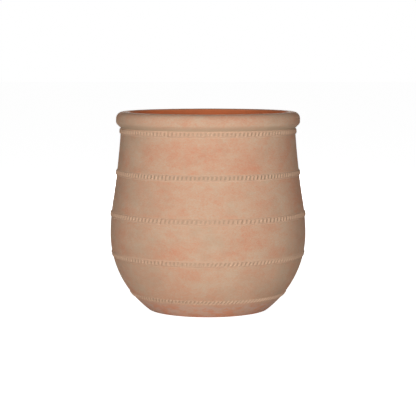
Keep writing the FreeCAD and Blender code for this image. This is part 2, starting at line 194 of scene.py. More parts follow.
class BandSizes(bpy.types.PropertyGroup):
    """Sizes of the notched bands, the top band first where there are five."""

    heights: five_sizes("Heights", "Height of the middle of each band", 411.2, 316.66, 222.49, 130.56, 39)
    pitches: five_sizes("Pitches", "Distance from notch to notch along each band", 9.7, 9.75, 10.4, 9.6, 8.8)
    slants: five_angles("Slants", "Lean of the notches at the front of each band", 8, 10, 13, 17, 27)
    drifts: five_angles("Slant drifts", "How much more the notches lean at the right", 15, 8, 0, 4, 0)
    reliefs: five_sizes("Reliefs", "How far each band stands out from the wall", 3, 2.7, 2.35, 1.9, 1.7)
    width: size("Width", "Width of a band along the wall", 16)
    crest: size("Crest", "Width of a band's highest part", 6.5)
    tuck: size("Tuck", "How far the edges of a band sink into the wall", 0.15)
    back: size("Back", "How far behind the wall's face a band is closed", 2)
    bed: size("Bed", "How far the wall is hollowed behind a band", 1.5)
    bed_reach: size("Bed reach", "How far the hollow reaches from a band's middle", 6.4)
    bed_slope: size("Bed slope", "Width of the slope at the edge of the hollow", 1.5)
    notch_lengths: five_sizes("Notch lengths", "Length of each band's notches", 9.6, 10.8, 10.4, 10, 11.6)
    notch_depths: five_sizes("Notch depths", "Depth of each band's notches", 2.1, 2.3, 2.1, 2, 2.4)
    notch_drops: five_sizes("Notch drops", "How far below the middle the notches lie", 0.4, 0, 0, 0.6, -0.3)
    notch_mouth: size("Notch width", "Width of a notch with its rounded sides", 9.6)
    notch_end: size("Notch end", "Length of a notch's steep upper end", 1.5)
    notch_floor: size("Notch floor", "How far behind the wall's face a notch may reach", 1.2)
    place_spread: size("Place spread", "How much the notches differ in place", 0.12)
    lean_spread: angle("Lean spread", "How much the notches differ in lean", 0.7)
    depth_spread: share("Depth spread", "How much the notches differ in depth, as a share of it", 0.04)
    length_spread: size("Length spread", "How much the notches differ in length", 0.15)
    mouth_spread: size("Width spread", "How much the notches differ in width", 0.1)
    seam: angle("Seam", "Azimuth at which the ends of each band meet", -26.5)
    seam_narrowing: share("Seam narrowing", "Width of the cut there, as a share of a notch's", 0.5)
    seam_lengthening: share("Seam lengthening", "Length of the cut there, as a share of a notch's", 1.5)
    # Painted highlight with rubbed wash: how pale the band edges and ridges are painted.
    low_rails: five_shares("Lower rails", "How pale each band's lower edge is rubbed", 0.6, 0.8, 0.5, 0.2, 0)
    high_rails: five_shares("Upper rails", "How pale each band's upper edge is rubbed", 1, 0.9, 0.3, 0.2, 0)
    rail_offset: size("Rail offset", "How far outside the notches a band's edge is palest", 1.8)
    rail_fade: size("Rail fade", "How far a band's pale edge takes to fade", 2.2)
    ridges: five_shares("Ridges", "How pale each band's ridges between notches are", 0.1, 0.1, 0.1, 0.2, 1)
    # Painted shade: how strongly each band's notch floors are painted grey for the shade in them, with dust.
    notch_dust_and_shade: five_shares("Notch dust", "How much dust each band's notches hold", 0.55, 0.75, 0.5, 0.5, 0.55)
    seed: IntProperty(name="Seed", description="Which set of differences between the notches", default=7)


class FinishSizes(bpy.types.PropertyGroup):
    """Sizes of the patterns in the finishes. The clay's grit is under a millimetre, so its grain is drawn at
    4 mm, as coarse as it needs to show."""

    grain: size("Grain", "Width of the grain of the clay", 4)
    wall_grain_depth: size("Wall grain depth", "Depth of the grain on the wall and the floor", 0.5)
    band_grain_depth: size("Band grain depth", "Depth of the grain on the smoother bands", 0.25)
    clouds: size("Clouds", "Width of the clouds where the wash is rubbed thin", 60)
    regions: size("Regions", "Width of the regions that were rubbed alike", 150)
    smear: share("Smear", "How many times wider than high the rubbing made the clouds", 1.7)
    wash_place: FloatVectorProperty(
        name="Wash place", description="Shift of the clouds that brings salmon ones to the neck",
        size=3, default=(0.78, 0.17, -0.06), subtype="TRANSLATION",
    )
    dust_patches: size("Dust patches", "Width of the patches of dust in the wash", 110)
    scuffs: size("Scuffs", "Width of the scuffs on the worn foot", 26)
    scuff_smear: share("Scuff smear", "How many times wider than high the scuffs are", 2.5)
    wall_damp: size("Wall damp", "Width of the damp stains inside the wall", 70)
    floor_damp: size("Floor damp", "Width of the damp stains on the floor", 45)


class PotColours(bpy.types.PropertyGroup):
    """Colours as they look in plain light."""

    buff: colour("Buff wash", "Lime wash where it lies thick", "#CEB297")
    salmon: colour("Salmon wash", "Lime wash rubbed thin over the clay", "#D09274")
    # Dust colour, also used as painted shade in the crease under the rolled rim.
    dust: colour("Dust", "Lime wash with dust in it", "#B99F86")
    worn: colour("Worn clay", "Clay where the wash has gone from an edge", "#CEAB98")
    bare: colour("Bare terracotta", "Fired clay that was never washed", "#EA8655")
    soil: colour("Stained terracotta", "Fired clay darkened by damp or by the ground", "#B06A48")
    # Painted highlight with rubbed wash: the pale colour of the band edges and ridges.
    rail: colour("Band edge", "Wash along the edges of the bands", "#DABA9F")
    # Painted shade with dust: the grey that the notch floors are painted.
    pit: colour("Notch floor", "Dust and wash settled in the notches", "#A5917B")


class StudioSettings(bpy.types.PropertyGroup):
    """Where the camera stands, how bright the light is and what the floor is like."""

    camera_distance: size("Camera distance", "From the pot's axis to the camera along the ground", 3490)
    camera_height: size("Camera height", "Height of the camera", 583.3)
    aim_height: size("Aim height", "Height on the pot's axis that the camera looks at", 232.2)
    lens: FloatProperty(
        name="Lens", description="Focal length of the camera", default=131.55, subtype="DISTANCE_CAMERA"
    )
    lamp_distance: size("Lamp distance", "From the pot to each soft light", 4200)
    lamp_aim: size("Lamp aim", "Height on the pot's axis that the lights are aimed at", 230)
    left_power: power("Left light", "Power of the soft light front left", 66.0)
    right_power: power("Right light", "Power of the soft light front right", 53.0)
    upper_power: power("Upper light", "Power of the soft light above the front", 29.0)
    back_power: power("Back light", "Power of the soft light behind", 105.0)
    ambient: share("Ambient light", "Strength of the light from all round", 0.04)
    floor_paint: colour("Floor paint", "White paint on the floor", "#E8E8E8")
    floor_glow: share("Floor glow", "How much the floor is brightened for the camera", 0.955)


# Shapes


def neck_centre(pot):
    """Centre of the hollow neck's arc in the section, as radius and height."""
    reach = pot.shoulder_arc + pot.neck_arc
    radius = pot.belly_radius - pot.shoulder_arc + reach * math.cos(pot.shoulder_sweep)
    return radius, pot.belly_height + reach * math.sin(pot.shoulder_sweep)


def wall_at(pot, height, inset=0.0):
    """Radius of the wall at some heights, and the angle its outward normal makes with the ground."""
    height = np.asarray(height, float)
    neck_x, neck_z = neck_centre(pot)
    low = height < pot.belly_height
    high = height > pot.belly_height + (pot.shoulder_arc - inset) * math.sin(pot.shoulder_sweep)
    bend = np.where(low, pot.lower_arc, pot.shoulder_arc)
    round_lean = np.arcsin(np.clip((height - pot.belly_height) / (bend - inset), -1, 1))
    neck_lean = np.arcsin(np.clip((neck_z - height) / (pot.neck_arc + inset), -1, 1))
    round_radius = pot.belly_radius - bend + (bend - inset) * np.cos(round_lean)
    neck_radius = neck_x - (pot.neck_arc + inset) * np.cos(neck_lean)
    return np.where(high, neck_radius, round_radius), np.where(high, neck_lean, round_lean)


def wall_line(pot, first, last, spacing, inset=0.0):
    """Points of the wall's section from one height to another."""
    heights = np.linspace(first, last, max(2, round(abs(last - first) / spacing) + 1))
    return np.stack([wall_at(pot, heights, inset)[0], heights], axis=1)


def bedded(pot, bands, outside):
    """The wall's section with a shallow bed behind each band."""
    radius, height = outside.T
    depth = np.zeros(len(outside))
    for middle in bands.heights:
        away = np.abs(height - middle) / math.cos(float(wall_at(pot, middle)[1]))
        hollow = np.clip((bands.bed_reach - away) / bands.bed_slope, 0, 1)
        depth = np.maximum(depth, hollow * bands.bed)
    return np.stack([radius - depth, height], axis=1)


def straight(first, last, count):
    """Evenly spaced points of a straight run, with both its ends."""
    return np.linspace(first, last, count)


def arc(centre, radius, first, last, count):
    """Evenly spaced points of an arc of the section, with both its ends."""
    turn = np.linspace(first, last, count)
    return np.stack([centre[0] + radius * np.cos(turn), centre[1] + radius * np.sin(turn)], axis=1)


def inner_joint(pot, height):
    """Height inside of a joint that starts at this height outside. A few rounds settle it."""
    outside = float(wall_at(pot, height)[0])
    slope = math.tan(pot.seam_bevel)
    inside = height
    for _ in range(8):
        inside = height + (outside - float(wall_at(pot, inside, pot.wall)[0])) * slope
    return inside


def hand_work(pot, points):
    """How deep the hand-worked surface dips at each point: broad waves with smaller ones on them."""
    level, broad, small, least = 0.75, 0.55, 0.2, 0.05
    dips = [
        level
        + broad * noise.noise(Vector(point) / pot.broad_wave)
        + small * noise.noise(Vector(point) / pot.small_wave)
        for point in points
    ]
    return np.clip(np.array(dips) / (level + broad + small), least, 1) * pot.uneven


def finger_lines(pot, places, height, azimuth):
    """How deep the finger lines are at each place, from 0 to 1. They wind up the wall and sway a little."""
    sway = 2.5
    wander = np.array([noise.noise(Vector(place) / pot.throwing_wave) for place in places])
    turns = height / pot.throwing_pitch * math.tau
    return 0.5 + 0.5 * np.sin(turns + sway * wander.reshape(height.shape) + azimuth)


def round_positions(radius, height, azimuth):
    """Points round the axis, from arrays that broadcast together."""
    radius, height, azimuth = np.broadcast_arrays(radius, height, azimuth)
    return np.stack([radius * np.sin(azimuth), -radius * np.cos(azimuth), height], axis=-1)


def ring(node, points, marks, finish):
    """A closed ring that stands for a node, from rows of points, each row once round. The rows run up the
    outside and down the inside. Marks are numbers on the points that the finish reads."""
    rows, columns = points.shape[:2]
    here = np.arange(rows * columns).reshape(rows, columns)
    right = np.roll(here, -1, axis=1)
    faces = np.stack([here, right, np.roll(right, -1, axis=0), np.roll(here, -1, axis=0)], axis=-1)
    name = node + "_fired"
    mesh = bpy.data.meshes.new(name)
    mesh.from_pydata(points.reshape(-1, 3).tolist(), [], faces.reshape(-1, 4).tolist())
    for mark, values in marks.items():
        layer = mesh.attributes.new(mark, "FLOAT", "POINT")
        layer.data.foreach_set("value", np.broadcast_to(values, (rows, columns)).astype(np.float32).ravel())
    mesh.shade_smooth()
    mesh.set_sharp_from_angle(angle=SHARP_ANGLE)
    mesh.materials.append(finish)
    piece = bpy.data.objects.new(name, mesh)
    bpy.context.scene.collection.objects.link(piece)
    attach(piece, "root")
    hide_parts(node)


def turned_ring(pot, node, slot, section, columns, finish, throwing, **marks):
    """A ring turned from a closed section of radius and height points, and dented by hand. Throwing says how
    much of the finger lines each row of the section has, and each mark has a number for each row too."""
    along = np.roll(section, -1, axis=0) - np.roll(section, 1, axis=0)
    normal = np.stack([along[:, 1], -along[:, 0]], axis=1) / np.linalg.norm(along, axis=1)[:, None]
    azimuth = np.linspace(-math.pi, math.pi, columns, endpoint=False)
    radius, height = (np.repeat(section[:, i : i + 1], columns, axis=1) for i in (0, 1))
    places = round_positions(radius, height, azimuth).reshape(-1, 3)
    dip = hand_work(pot, places).reshape(radius.shape)
    dip = dip + throwing[:, None] * finger_lines(pot, places, height, azimuth) * pot.throwing_depth
    dented = np.maximum(height - normal[:, 1:] * dip, 0)
    points = round_positions(radius - normal[:, :1] * dip, dented, azimuth)
    ring(node, points, {mark: values[:, None] for mark, values in marks.items()}, finish)


# Finishes


def add(tree, kind, inputs=(), **settings):
    """Adds a node with its settings and gives its outputs. An input that is a socket is linked, and any
    other becomes its value."""
    node = tree.nodes.new(kind)
    for key, value in settings.items():
        setattr(node, key, value)
    for key, value in dict(inputs).items():
        if isinstance(value, bpy.types.NodeSocket):
            tree.links.new(value, node.inputs[key])
        else:
            node.inputs[key].default_value = value
    return node.outputs


def per_size(length):
    """Noise scale at which the pattern's features are about this large."""
    return 1 / length


# The colour sockets of a Mix node share their names with its other kinds, so they go by number.
FACTOR, FIRST, SECOND, MIXED = 0, 6, 7, 2


def new_finish(name):
    """An empty material and its node tree."""
    material = bpy.data.materials.new(name)
    material.use_nodes = True
    material.node_tree.nodes.clear()
    return material, material.node_tree


def clay_grain(tree, sizes):
    """The place on the pot, that place as the rubbing smeared it sideways, and the grain of the clay."""
    place = add(tree, "ShaderNodeTexCoord")["Object"]
    stretch = (1.0, 1.0, sizes.smear)
    smeared = add(
        tree, "ShaderNodeMapping", {"Vector": place, "Location": sizes.wash_place, "Scale": stretch}
    )["Vector"]
    grain = add(
        tree, "ShaderNodeTexNoise",
        {"Vector": smeared, "Scale": per_size(sizes.grain), "Detail": 3.0, "Roughness": 0.8},
    )["Fac"]
    return place, smeared, grain


def rubbed_thin(tree, sizes, smeared, grain):
    """Where the wash has been rubbed thin, from 0 to 1: clouds broken up by the grain of the clay, and more
    of them in some regions than in others."""
    grain_share, region_share = 0.9, 0.3
    clouds = add(
        tree, "ShaderNodeTexNoise",
        {"Vector": smeared, "Scale": per_size(sizes.clouds), "Detail": 6.0, "Roughness": 0.8},
    )["Fac"]
    regions = add(
        tree, "ShaderNodeTexNoise",
        {"Vector": smeared, "Scale": per_size(sizes.regions), "Detail": 1.0, "Roughness": 0.5},
    )["Fac"]
    broken = add(tree, "ShaderNodeMath", {0: grain, 1: grain_share, 2: clouds}, operation="MULTIPLY_ADD")[0]
    uneven = add(
        tree, "ShaderNodeMath", {0: regions, 1: region_share, 2: broken}, operation="MULTIPLY_ADD"
    )[0]
    return add(tree, "ShaderNodeMapRange", {"Value": uneven, "From Min": 0.9, "From Max": 1.35})["Result"]


def rubbed_surface(tree, colour_socket, grain, rough, depth):
    """The matt clay surface that all the finishes end in."""
    bump = add(tree, "ShaderNodeBump", {"Strength": 1.0, "Distance": depth, "Height": grain})
    surface = add(
        tree, "ShaderNodeBsdfPrincipled",
        {
            "Base Color": colour_socket, "Roughness": rough, "IOR": 1.45, "Specular IOR Level": 0.2,
            "Normal": bump["Normal"],
        },
    )
    add(tree, "ShaderNodeOutputMaterial", {"Surface": surface["BSDF"]})


def chalky_wash(tree, colours, sizes, place, thin):
    """Buff wash, salmon where it was rubbed thin and greyer in broad patches of dust. Where the mark "kept"
    says that it was rubbed less, as under the rolled rim, less clay shows. There the wash is also greyed
    towards the dust colour: painted shade in the crease under the roll, and a little greying on the worn
    foot."""
    spared, darkest_crease_shade = 0.75, 0.55
    kept = add(tree, "ShaderNodeAttribute", attribute_name="kept")["Fac"]
    rubbed = add(tree, "ShaderNodeMath", {0: kept, 1: -spared, 2: 1.0}, operation="MULTIPLY_ADD")
    bared = add(tree, "ShaderNodeMath", {0: thin, 1: rubbed[0]}, operation="MULTIPLY")
    wash = add(
        tree, "ShaderNodeMix", {FACTOR: bared[0], FIRST: colours.buff, SECOND: colours.salmon},
        data_type="RGBA",
    )
    patches = add(
        tree, "ShaderNodeTexNoise",
        {"Vector": place, "Scale": per_size(sizes.dust_patches), "Detail": 5.0, "Roughness": 0.7},
    )
    dust = add(
        tree, "ShaderNodeMapRange",
        {"Value": patches["Fac"], "From Min": 0.48, "From Max": 0.75, "To Max": 0.6},
    )
    greyed = add(
        tree, "ShaderNodeMix", {FACTOR: dust["Result"], FIRST: wash[MIXED], SECOND: colours.dust},
        data_type="RGBA",
    )
    # Painted shade: the crease under the rolled rim, where the mark "kept" is highest, is greyed towards the
    # dust colour.
    crease = add(tree, "ShaderNodeMath", {0: kept, 1: 3.0}, operation="POWER")
    settled = add(tree, "ShaderNodeMath", {0: crease[0], 1: darkest_crease_shade}, operation="MULTIPLY")
    crease_shaded = add(
        tree, "ShaderNodeMix", {FACTOR: settled[0], FIRST: greyed[MIXED], SECOND: colours.dust},
        data_type="RGBA",
    )
    return crease_shaded[MIXED]


def foot_wear(tree, colours, sizes, place, thin, washed):
    """The foot, where the mark "worn" says that handling took the wash: pale clay with salmon scuffs. The
    mark "ground" says where the ground has stained it."""
    full, loss = 1.25, 1.2
    worn = add(tree, "ShaderNodeAttribute", attribute_name="worn")["Fac"]
    left = add(
        tree, "ShaderNodeMath", {0: thin, 1: -loss, 2: full}, operation="MULTIPLY_ADD", use_clamp=True
    )
    gone = add(tree, "ShaderNodeMath", {0: worn, 1: left[0]}, operation="MULTIPLY", use_clamp=True)
    pale = add(
        tree, "ShaderNodeMix", {FACTOR: gone[0], FIRST: washed, SECOND: colours.worn}, data_type="RGBA"
    )
    stretch = (1.0, 1.0, sizes.scuff_smear)
    flat = add(tree, "ShaderNodeMapping", {"Vector": place, "Scale": stretch})["Vector"]
    scuffs = add(
        tree, "ShaderNodeTexNoise",
        {"Vector": flat, "Scale": per_size(sizes.scuffs), "Detail": 4.0, "Roughness": 0.7},
    )
    scuff = add(
        tree, "ShaderNodeMapRange",
        {"Value": scuffs["Fac"], "From Min": 0.47, "From Max": 0.6, "To Max": 0.8},
    )
    scuffed = add(tree, "ShaderNodeMath", {0: worn, 1: scuff["Result"]}, operation="MULTIPLY")
    streaked = add(
        tree, "ShaderNodeMix", {FACTOR: scuffed[0], FIRST: pale[MIXED], SECOND: colours.salmon},
        data_type="RGBA",
    )
    ground = add(tree, "ShaderNodeAttribute", attribute_name="ground")["Fac"]
    stained = add(
        tree, "ShaderNodeMix", {FACTOR: ground, FIRST: streaked[MIXED], SECOND: colours.soil},
        data_type="RGBA",
    )
    return stained[MIXED]


def damp_clay(tree, colours, place, width, dry, wet, darkest):
    """Bare orange clay, darker in patches where damp has stood. Gives its colour and the damp."""
    damp = add(
        tree, "ShaderNodeTexNoise",
        {"Vector": place, "Scale": per_size(width), "Detail": 4.0, "Roughness": 0.6},
    )["Fac"]
    stain = add(
        tree, "ShaderNodeMapRange", {"Value": damp, "From Min": dry, "From Max": wet, "To Max": darkest}
    )
    clay = add(
        tree, "ShaderNodeMix", {FACTOR: stain["Result"], FIRST: colours.bare, SECOND: colours.soil},
        data_type="RGBA",
    )
    return clay[MIXED], damp


def limewashed_terracotta(scene):
    """Fired terracotta brushed with lime wash and rubbed back by hand. The wash gives a chalky buff skin
    with no gloss, and salmon clouds where the clay comes through. It is worn off the foot, and the inside
    was never washed, so there the clay is orange. The mark "wash" says where the wash lies, and its edge is
    ragged."""
    raggedness = 0.5
    material, tree = new_finish(WASHED_WALL)
    colours, sizes = scene.pot_colours, scene.finish_sizes
    place, smeared, grain = clay_grain(tree, sizes)
    thin = rubbed_thin(tree, sizes, smeared, grain)
    washed = chalky_wash(tree, colours, sizes, place, thin)
    outside = foot_wear(tree, colours, sizes, place, thin, washed)
    inside, _ = damp_clay(tree, colours, place, sizes.wall_damp, dry=0.45, wet=0.8, darkest=0.35)
    cover = add(tree, "ShaderNodeAttribute", attribute_name="wash")["Fac"]
    ragged = add(tree, "ShaderNodeMath", {0: grain, 1: raggedness, 2: cover}, operation="MULTIPLY_ADD")
    covered = add(
        tree, "ShaderNodeMapRange", {"Value": ragged[0], "From Min": 0.45, "From Max": 1.05},
        interpolation_type="SMOOTHSTEP",
    )
    skin = add(
        tree, "ShaderNodeMix", {FACTOR: covered["Result"], FIRST: inside, SECOND: outside}, data_type="RGBA"
    )
    rough = add(tree, "ShaderNodeMapRange", {"Value": thin, "To Min": 0.95, "To Max": 0.82})
    rubbed_surface(tree, skin[MIXED], grain, rough["Result"], sizes.wall_grain_depth)
    return material


def limewashed_band_clay(scene):
    """A soft clay strip pressed with a notched tool, then fired and washed with the wall. Its edges and
    ridges are palest, as the mark "rail" says: wash rubbed pale there, with painted highlight. The notch
    floors are painted grey, as the mark "pit" says: painted shade in the notches, with dust and wash."""
    cloud_share, bare_share = 0.3, 0.2
    material, tree = new_finish(PRESSED_BAND)
    colours, sizes = scene.pot_colours, scene.finish_sizes
    _, smeared, grain = clay_grain(tree, sizes)
    thin = rubbed_thin(tree, sizes, smeared, grain)
    less = add(tree, "ShaderNodeMath", {0: thin, 1: cloud_share, 2: bare_share}, operation="MULTIPLY_ADD")
    skin = add(
        tree, "ShaderNodeMix", {FACTOR: less[0], FIRST: colours.buff, SECOND: colours.salmon},
        data_type="RGBA",
    )
    for mark in ("rail", "pit"):
        there = add(tree, "ShaderNodeAttribute", attribute_name=mark)["Fac"]
        layers = {FACTOR: there, FIRST: skin[MIXED], SECOND: getattr(colours, mark)}
        skin = add(tree, "ShaderNodeMix", layers, data_type="RGBA")
    rough = add(tree, "ShaderNodeMapRange", {"Value": thin, "To Min": 0.95, "To Max": 0.85})
    rubbed_surface(tree, skin[MIXED], grain, rough["Result"], sizes.band_grain_depth)
    return material


def bare_terracotta(scene):
    """Thrown and fired terracotta without wash: matt orange clay with fine grit, darker where damp stood."""
    material, tree = new_finish(BARE_CLAY)
    colours, sizes = scene.pot_colours, scene.finish_sizes
    place, _, grain = clay_grain(tree, sizes)
    clay, damp = damp_clay(tree, colours, place, sizes.floor_damp, dry=0.4, wet=0.75, darkest=0.6)
    rough = add(tree, "ShaderNodeMapRange", {"Value": damp, "To Min": 0.95, "To Max": 0.8})
    rubbed_surface(tree, clay, grain, rough["Result"], sizes.wall_grain_depth)
    return material


def shared_finish(scene, name, maker):
    """A finish that several pieces share, made the first time it is asked for."""
    return bpy.data.materials.get(name) or maker(scene)


# Pieces


class POT_OT_courses(bpy.types.Operator):
    """Make the five courses of the wall, washed outside and bare inside"""

    bl_idname = "flower_pot.courses"
    bl_label = "Wall courses"

    def execute(self, context):
        pot, bands = context.scene.pot_sizes, context.scene.band_sizes
        finish = shared_finish(context.scene, WASHED_WALL, limewashed_terracotta)
        heights = list(bands.heights)
        for course, high, low in zip(COURSES, heights, heights[1:]):
            outside = bedded(pot, bands, wall_line(pot, low, high, OUTSIDE_ROWS))
            inside = wall_line(pot, inner_joint(pot, high), inner_joint(pot, low), INSIDE_ROWS, pot.wall)
            section = np.concatenate([outside, inside])
            wash = np.concatenate([np.ones(len(outside)), np.zeros(len(inside))])
            turned_ring(pot, course, "limewashed_wall", section, WALL_COLUMNS, finish, 1 - wash, wash=wash)
        self.foot(pot, bands, finish)
        return {"FINISHED"}

    def foot(self, pot, bands, finish):
        """The lowest course, with the ground ring, the rounded edge and the seat of the floor."""
        high = bands.heights[-1]
        reach = pot.lower_arc - pot.foot_round
        start = -math.asin((pot.belly_height - pot.foot_round) / reach)
        centre = (pot.belly_radius - pot.lower_arc + reach * math.cos(start), pot.foot_round)
        edge = arc(centre, pot.foot_round, -math.pi / 2, start, count=9)
        under = straight((pot.foot_inner, 0), edge[0], count=7)[:-1]
        outside = bedded(pot, bands, wall_line(pot, edge[-1][1], high, OUTSIDE_ROWS)[1:])
        floor_top = pot.floor_recess + pot.floor_thickness
        inside = wall_line(pot, inner_joint(pot, high), floor_top, INSIDE_ROWS, pot.wall)
        seat = straight(inside[-1], (pot.foot_inner, 0), count=6)[1:-1]
        section = np.concatenate([under, edge, outside, inside, seat])
        throwing = np.zeros(len(section))
        throwing[-len(inside) - len(seat) : -len(seat)] = 1

        # Low down, handling has worn the wash evenly, so few clouds show, and the ground has stained it.
        cloudless, stain = 0.7, 0.35
        height = section[:, 1]
        wash = np.zeros(len(section))
        wash[: len(under) + len(edge) + len(outside)] = 1
        worn = np.clip((pot.wear_top - height) / pot.wear_fade, 0, 1) * wash
        ground = stain * np.clip(1 - height / pot.soil_top, 0, 1) * wash
        marks = {"wash": wash, "worn": worn, "kept": cloudless * worn, "ground": ground}
        turned_ring(pot, COURSES[-1], "limewashed_wall", section, WALL_COLUMNS, finish, throwing, **marks)


class POT_OT_rim_roll(bpy.types.Operator):
    """Make the rolled rim, whose wash ends at the mouth"""

    bl_idname = "flower_pot.rim_roll"
    bl_label = "Rolled rim"

    def execute(self, context):
        pot, bands = context.scene.pot_sizes, context.scene.band_sizes
        finish = shared_finish(context.scene, WASHED_WALL, limewashed_terracotta)
        joint = bands.heights[0]
        neck, bevel, low, front, top = self.roll(pot, bands, joint)
        lip = self.lip(pot)
        crest = straight(top[-1], lip[0], count=6)[1:-1]
        inside = wall_line(pot, lip[-1][1], inner_joint(pot, joint), INSIDE_ROWS, pot.wall)[1:]
        section = np.concatenate([neck, bevel, low, front, top, crest, lip, inside])

        # The wash ends on the lip. It was kept from rubbing on the neck, and less and less up the slope, and
        # the mark "kept" also paints shade into the crease under the roll there.
        lip_wash = 0.9
        outer = len(section) - len(inside) - len(lip)
        wash = np.concatenate([np.ones(outer), np.linspace(lip_wash, 0, len(lip)), np.zeros(len(inside))])
        throwing = np.concatenate([np.zeros(outer + len(lip)), np.ones(len(inside))])
        fading = len(bevel) + len(low)
        kept = np.zeros(len(section))
        kept[: len(neck) + fading] = np.append(np.ones(len(neck)), np.linspace(1, 0, fading))
        marks = {"wash": wash, "kept": kept}
        turned_ring(pot, "rim_roll", "limewashed_wall", section, WALL_COLUMNS, finish, throwing, **marks)
        return {"FINISHED"}

    def roll(self, pot, bands, joint):
        """The outside from the joint up: the neck, the slope under the roll, its lower rounding, its front
        and its upper rounding."""
        under = pot.height - pot.roll_height
        slope = pot.roll_bevel_angle
        climb = pot.roll_bevel * math.tan(slope)
        rise = climb + pot.roll_low_round * math.tan((math.pi / 2 - slope) / 2)
        hip = (pot.roll_radius - pot.roll_low_round, under + rise)
        low = arc(hip, pot.roll_low_round, slope - math.pi / 2, 0, count=7)
        crown = (pot.roll_radius - pot.roll_top_round, pot.height - pot.roll_top_round)
        top = arc(crown, pot.roll_top_round, 0, math.pi / 2, count=16)
        overhang = float(wall_at(pot, under)[0]) - pot.roll_radius + pot.roll_bevel
        meeting = under + overhang * math.tan(slope)
        neck = bedded(pot, bands, wall_line(pot, joint, meeting, RIM_ROWS))
        bevel = straight(neck[-1], low[0], count=7)[1:-1]
        front = straight(low[-1], top[0], count=6)[1:-1]
        return neck, bevel, low, front, top

    def lip(self, pot):
        """The rounding from the crest into the mouth."""
        neck_x, neck_z = neck_centre(pot)
        reach = pot.neck_arc + pot.wall - pot.lip_round
        lean = math.asin((neck_z - pot.height + pot.lip_round) / reach)
        centre = (neck_x - reach * math.cos(lean), pot.height - pot.lip_round)
        return arc(centre, pot.lip_round, math.pi / 2, math.pi + lean, count=10)


class POT_OT_floor_disc(bpy.types.Operator):
    """Make the floor with its drain hole"""

    bl_idname = "flower_pot.floor_disc"
    bl_label = "Floor disc"

    def execute(self, context):
        pot = context.scene.pot_sizes
        finish = shared_finish(context.scene, BARE_CLAY, bare_terracotta)
        low, high = pot.floor_recess, pot.floor_recess + pot.floor_thickness
        top_radius = float(wall_at(pot, high, pot.wall)[0])
        low_radius = pot.foot_inner + (top_radius - pot.foot_inner) * low / high
        soft = pot.drain_round
        hole = pot.drain_radius + soft
        under = straight((hole, low), (low_radius, low), count=40)
        edge = straight((low_radius, low), (top_radius, high), count=8)[1:-1]
        top = straight((top_radius, high), (hole, high), count=90)
        upper = arc((hole, high - soft), soft, math.pi / 2, math.pi, count=6)[1:]
        lower = arc((hole, low + soft), soft, math.pi, 1.5 * math.pi, count=6)[:-1]
        section = np.concatenate([under, edge, top, upper, lower])
        throwing = np.zeros(len(section))
        turned_ring(pot, "floor_disc", "bare_terracotta", section, FLOOR_COLUMNS, finish, throwing)
        return {"FINISHED"}


